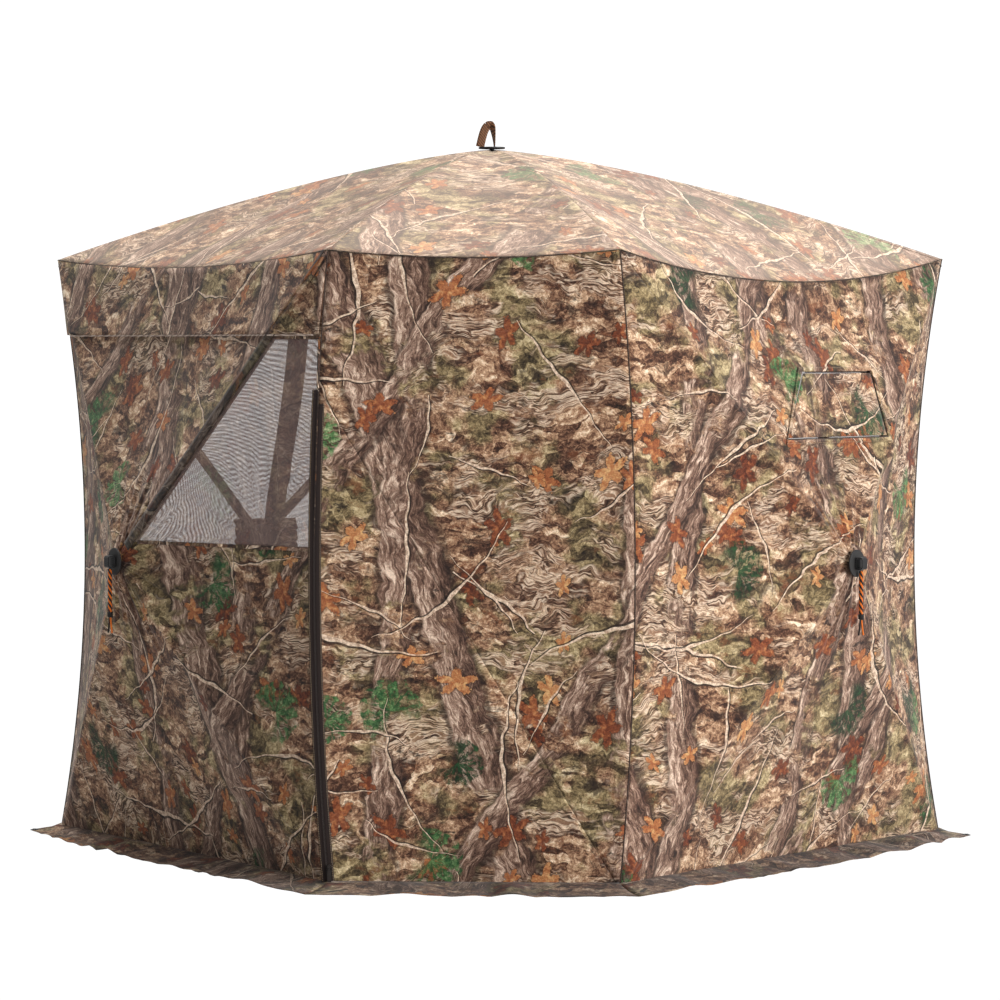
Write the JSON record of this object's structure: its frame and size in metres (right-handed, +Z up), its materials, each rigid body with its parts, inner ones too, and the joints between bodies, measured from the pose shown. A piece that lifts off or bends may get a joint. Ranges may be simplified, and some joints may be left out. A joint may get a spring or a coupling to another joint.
{
  "type": "pop up ground blind",
  "caption": "Hub-framed pop-up ground blind with four pop-out walls, a flat zipped door wall, mesh windows and a peaked five-pole roof.",
  "frame": {"origin": "on the ground under the middle of the blind's ground skirt", "axes": "+Z up, the flat door wall faces -Y, +X to the right seen from the door side"},
  "size_m": [2.7912, 2.439, 2.0795],
  "materials": {
    "camo_fabric": "matt brushed polyester print",
    "mesh_screen": "fine mesh print",
    "glass_fibre_pole": "satin",
    "steel_pin": "zinc plated",
    "hub_cap_plastic": "moulded",
    "hub_plastic": "moulded",
    "webbing": "woven",
    "camo_webbing": "woven",
    "paracord": "braided",
    "zip_tape": "woven tape with coil",
    "zip_metal": "satin",
    "eyelet_brass": "aged"
  },
  "bodies": {
    "shell": {"left_wall": "camo_fabric", "right_wall": "camo_fabric", "back_right_wall": "camo_fabric", "back_left_wall": "camo_fabric", "window_screens": "mesh_screen", "roof": "camo_fabric", "door_panel": "camo_fabric", "zip_tape": "zip_tape", "ground_skirt": "camo_fabric", "stake_eyelets": "eyelet_brass", "pole_pockets": "webbing"},
    "left_hub": {"left_hub": "hub_plastic", "left_hub_pins": "steel_pin", "left_hub_cap": "hub_cap_plastic", "left_pull_strap": "webbing", "left_pull_cord": "paracord"},
    "left_pole_1": {"left_pole_1": "glass_fibre_pole"},
    "left_pole_2": {"left_pole_2": "glass_fibre_pole"},
    "left_pole_3": {"left_pole_3": "glass_fibre_pole"},
    "left_pole_4": {"left_pole_4": "glass_fibre_pole"},
    "right_hub": {"right_hub": "hub_plastic", "right_hub_pins": "steel_pin", "right_hub_cap": "hub_cap_plastic", "right_pull_strap": "webbing", "right_pull_cord": "paracord"},
    "right_pole_1": {"right_pole_1": "glass_fibre_pole"},
    "right_pole_2": {"right_pole_2": "glass_fibre_pole"},
    "right_pole_3": {"right_pole_3": "glass_fibre_pole"},
    "right_pole_4": {"right_pole_4": "glass_fibre_pole"},
    "back_right_hub": {"back_right_hub": "hub_plastic", "back_right_hub_pins": "steel_pin", "back_right_hub_cap": "hub_cap_plastic", "back_right_pull_strap": "webbing", "back_right_pull_cord": "paracord"},
    "back_right_pole_1": {"back_right_pole_1": "glass_fibre_pole"},
    "back_right_pole_2": {"back_right_pole_2": "glass_fibre_pole"},
    "back_right_pole_3": {"back_right_pole_3": "glass_fibre_pole"},
    "back_right_pole_4": {"back_right_pole_4": "glass_fibre_pole"},
    "back_left_hub": {"back_left_hub": "hub_plastic", "back_left_hub_pins": "steel_pin", "back_left_hub_cap": "hub_cap_plastic", "back_left_pull_strap": "webbing", "back_left_pull_cord": "paracord"},
    "back_left_pole_1": {"back_left_pole_1": "glass_fibre_pole"},
    "back_left_pole_2": {"back_left_pole_2": "glass_fibre_pole"},
    "back_left_pole_3": {"back_left_pole_3": "glass_fibre_pole"},
    "back_left_pole_4": {"back_left_pole_4": "glass_fibre_pole"},
    "roof_hub": {"roof_hub": "hub_plastic", "roof_hub_pins": "steel_pin", "roof_hub_cap": "hub_cap_plastic", "roof_strap": "camo_webbing"},
    "roof_pole_a": {"roof_pole_a": "glass_fibre_pole"},
    "roof_pole_b": {"roof_pole_b": "glass_fibre_pole"},
    "roof_pole_c": {"roof_pole_c": "glass_fibre_pole"},
    "roof_pole_d": {"roof_pole_d": "glass_fibre_pole"},
    "roof_pole_e": {"roof_pole_e": "glass_fibre_pole"},
    "window_binding": {"window_binding": "webbing"},
    "window_flap": {"window_flap": "camo_fabric"},
    "door_flap": {"door_flap": "camo_fabric"},
    "zip_slider": {"zip_slider": "zip_metal"}
  },
  "joints": [
    {"name": "left_hub_slide", "type": "slide", "parent": "shell", "child": "left_hub", "axis": [-0.8172, -0.5764, 0], "range_m": [-0.44, 0], "deforming": ["left_wall", "window_screens"]},
    {"name": "left_pole_1_hinge", "type": "hinge", "parent": "left_hub", "child": "left_pole_1", "pos_m": [-1.0121, -0.52837, 0.87431], "axis": [-0.4213, 0.5973, -0.6824], "range_deg": [-22.41, 0]},
    {"name": "left_pole_2_hinge", "type": "hinge", "parent": "left_hub", "child": "left_pole_2", "pos_m": [-0.98378, -0.56852, 0.87431], "axis": [-0.4213, 0.5973, 0.6824], "range_deg": [-22.41, 0]},
    {"name": "left_pole_3_hinge", "type": "hinge", "parent": "left_hub", "child": "left_pole_3", "pos_m": [-0.98375, -0.56857, 0.82174], "axis": [0.4204, -0.596, 0.6841], "range_deg": [-22.47, 0]},
    {"name": "left_pole_4_hinge", "type": "hinge", "parent": "left_hub", "child": "left_pole_4", "pos_m": [-1.01214, -0.52832, 0.82174], "axis": [0.4204, -0.596, -0.6841], "range_deg": [-22.47, 0]},
    {"name": "right_hub_slide", "type": "slide", "parent": "shell", "child": "right_hub", "axis": [0.8172, -0.5764, 0], "range_m": [-0.44, 0], "deforming": ["right_wall"]},
    {"name": "right_pole_1_hinge", "type": "hinge", "parent": "right_hub", "child": "right_pole_1", "pos_m": [0.98378, -0.56852, 0.87431], "axis": [-0.4213, -0.5973, -0.6824], "range_deg": [-22.41, 0]},
    {"name": "right_pole_2_hinge", "type": "hinge", "parent": "right_hub", "child": "right_pole_2", "pos_m": [1.0121, -0.52837, 0.87431], "axis": [-0.4213, -0.5973, 0.6824], "range_deg": [-22.41, 0]},
    {"name": "right_pole_3_hinge", "type": "hinge", "parent": "right_hub", "child": "right_pole_3", "pos_m": [1.01214, -0.52832, 0.82174], "axis": [0.4204, 0.596, 0.6841], "range_deg": [-22.47, 0]},
    {"name": "right_pole_4_hinge", "type": "hinge", "parent": "right_hub", "child": "right_pole_4", "pos_m": [0.98375, -0.56857, 0.82174], "axis": [0.4204, 0.596, -0.6841], "range_deg": [-22.47, 0]},
    {"name": "back_right_hub_slide", "type": "slide", "parent": "shell", "child": "back_right_hub", "axis": [0.5746, 0.8185, 0], "range_m": [-0.44, 0], "deforming": ["back_right_wall"]},
    {"name": "back_right_pole_1_hinge", "type": "hinge", "parent": "back_right_hub", "child": "back_right_pole_1", "pos_m": [0.7797, 0.80807, 0.87431], "axis": [0.5983, -0.42, -0.6824], "range_deg": [-22.41, 0]},
    {"name": "back_right_pole_2_hinge", "type": "hinge", "parent": "back_right_hub", "child": "back_right_pole_2", "pos_m": [0.73948, 0.8363, 0.87431], "axis": [0.5983, -0.42, 0.6824], "range_deg": [-22.41, 0]},
    {"name": "back_right_pole_3_hinge", "type": "hinge", "parent": "back_right_hub", "child": "back_right_pole_3", "pos_m": [0.73943, 0.83634, 0.82174], "axis": [-0.597, 0.4191, 0.6841], "range_deg": [-22.47, 0]},
    {"name": "back_right_pole_4_hinge", "type": "hinge", "parent": "back_right_hub", "child": "back_right_pole_4", "pos_m": [0.77975, 0.80804, 0.82174], "axis": [-0.597, 0.4191, -0.6841], "range_deg": [-22.47, 0]},
    {"name": "back_left_hub_slide", "type": "slide", "parent": "shell", "child": "back_left_hub", "axis": [-0.5746, 0.8185, 0], "range_m": [-0.44, 0], "deforming": ["back_left_wall"]},
    {"name": "back_left_pole_1_hinge", "type": "hinge", "parent": "back_left_hub", "child": "back_left_pole_1", "pos_m": [-0.73948, 0.8363, 0.87431], "axis": [0.5983, 0.42, -0.6824], "range_deg": [-22.41, 0]},
    {"name": "back_left_pole_2_hinge", "type": "hinge", "parent": "back_left_hub", "child": "back_left_pole_2", "pos_m": [-0.7797, 0.80807, 0.87431], "axis": [0.5983, 0.42, 0.6824], "range_deg": [-22.41, 0]},
    {"name": "back_left_pole_3_hinge", "type": "hinge", "parent": "back_left_hub", "child": "back_left_pole_3", "pos_m": [-0.77975, 0.80804, 0.82174], "axis": [-0.597, -0.4191, 0.6841], "range_deg": [-22.47, 0]},
    {"name": "back_left_pole_4_hinge", "type": "hinge", "parent": "back_left_hub", "child": "back_left_pole_4", "pos_m": [-0.73943, 0.83634, 0.82174], "axis": [-0.597, -0.4191, -0.6841], "range_deg": [-22.47, 0]},
    {"name": "roof_hub_slide", "type": "slide", "parent": "shell", "child": "roof_hub", "axis": [0, 0, 1], "range_m": [-0.612, 0], "deforming": ["roof"]},
    {"name": "roof_pole_a_hinge", "type": "hinge", "parent": "roof_hub", "child": "roof_pole_a", "pos_m": [-0.03477, -0.13015, 1.975], "axis": [-0.2596, -0.9657, 0], "range_deg": [-26.64, 0]},
    {"name": "roof_pole_b_hinge", "type": "hinge", "parent": "roof_hub", "child": "roof_pole_b", "pos_m": [-0.01352, -0.17286, 1.975], "axis": [0.9268, -0.3756, 0], "range_deg": [-34.88, 0]},
    {"name": "roof_pole_c_hinge", "type": "hinge", "parent": "roof_hub", "child": "roof_pole_c", "pos_m": [0.01352, -0.17286, 1.975], "axis": [0.9268, 0.3756, 0], "range_deg": [-34.88, 0]},
    {"name": "roof_pole_d_hinge", "type": "hinge", "parent": "roof_hub", "child": "roof_pole_d", "pos_m": [0.03477, -0.13015, 1.975], "axis": [-0.2596, 0.9657, 0], "range_deg": [-26.64, 0]},
    {"name": "roof_pole_e_hinge", "type": "hinge", "parent": "roof_hub", "child": "roof_pole_e", "pos_m": [0, -0.1035, 1.975], "axis": [-1, 0, 0], "range_deg": [-28.39, 0]},
    {"name": "window_tilt", "type": "hinge", "parent": "shell", "child": "window_binding", "pos_m": [0.87474, -0.46154, 1.44535], "axis": [-0.5764, -0.8172, 0], "range_deg": [-47.26, 0]},
    {"name": "window_flap_hinge", "type": "hinge", "parent": "window_binding", "child": "window_flap", "pos_m": [0.95214, -0.51614, 1.194], "axis": [-0.5764, -0.8172, 0], "range_deg": [0, 120]},
    {"name": "door_flap_fold", "type": "hinge", "parent": "shell", "child": "door_flap", "pos_m": [-0.01284, -1.07966, 0.66], "axis": [-0.5181, 0.0149, 0.8552], "range_deg": [0, 150]},
    {"name": "zip_slide", "type": "slide", "parent": "shell", "child": "zip_slider", "axis": [-0.0195, 0.0159, 0.9997], "range_m": [0, 1.2404]}
  ],
  "couplings": [
    {"joint": "left_pole_1_hinge", "follows": "left_hub_slide", "rad_per_m": 0.87714},
    {"joint": "left_pole_2_hinge", "follows": "left_hub_slide", "rad_per_m": 0.87714},
    {"joint": "left_pole_3_hinge", "follows": "left_hub_slide", "rad_per_m": 0.87937},
    {"joint": "left_pole_4_hinge", "follows": "left_hub_slide", "rad_per_m": 0.87937},
    {"joint": "right_pole_1_hinge", "follows": "right_hub_slide", "rad_per_m": 0.87714},
    {"joint": "right_pole_2_hinge", "follows": "right_hub_slide", "rad_per_m": 0.87714},
    {"joint": "right_pole_3_hinge", "follows": "right_hub_slide", "rad_per_m": 0.87937},
    {"joint": "right_pole_4_hinge", "follows": "right_hub_slide", "rad_per_m": 0.87937},
    {"joint": "back_right_pole_1_hinge", "follows": "back_right_hub_slide", "rad_per_m": 0.87716},
    {"joint": "back_right_pole_2_hinge", "follows": "back_right_hub_slide", "rad_per_m": 0.87716},
    {"joint": "back_right_pole_3_hinge", "follows": "back_right_hub_slide", "rad_per_m": 0.87939},
    {"joint": "back_right_pole_4_hinge", "follows": "back_right_hub_slide", "rad_per_m": 0.87939},
    {"joint": "back_left_pole_1_hinge", "follows": "back_left_hub_slide", "rad_per_m": 0.87716},
    {"joint": "back_left_pole_2_hinge", "follows": "back_left_hub_slide", "rad_per_m": 0.87716},
    {"joint": "back_left_pole_3_hinge", "follows": "back_left_hub_slide", "rad_per_m": 0.87939},
    {"joint": "back_left_pole_4_hinge", "follows": "back_left_hub_slide", "rad_per_m": 0.87939},
    {"joint": "roof_pole_a_hinge", "follows": "roof_hub_slide", "rad_per_m": 0.75114},
    {"joint": "roof_pole_b_hinge", "follows": "roof_hub_slide", "rad_per_m": 0.98609},
    {"joint": "roof_pole_c_hinge", "follows": "roof_hub_slide", "rad_per_m": 0.98609},
    {"joint": "roof_pole_d_hinge", "follows": "roof_hub_slide", "rad_per_m": 0.75114},
    {"joint": "roof_pole_e_hinge", "follows": "roof_hub_slide", "rad_per_m": 0.80106},
    {"joint": "window_tilt", "follows": "right_hub_slide", "rad_per_m": 1.8627}
  ]
}
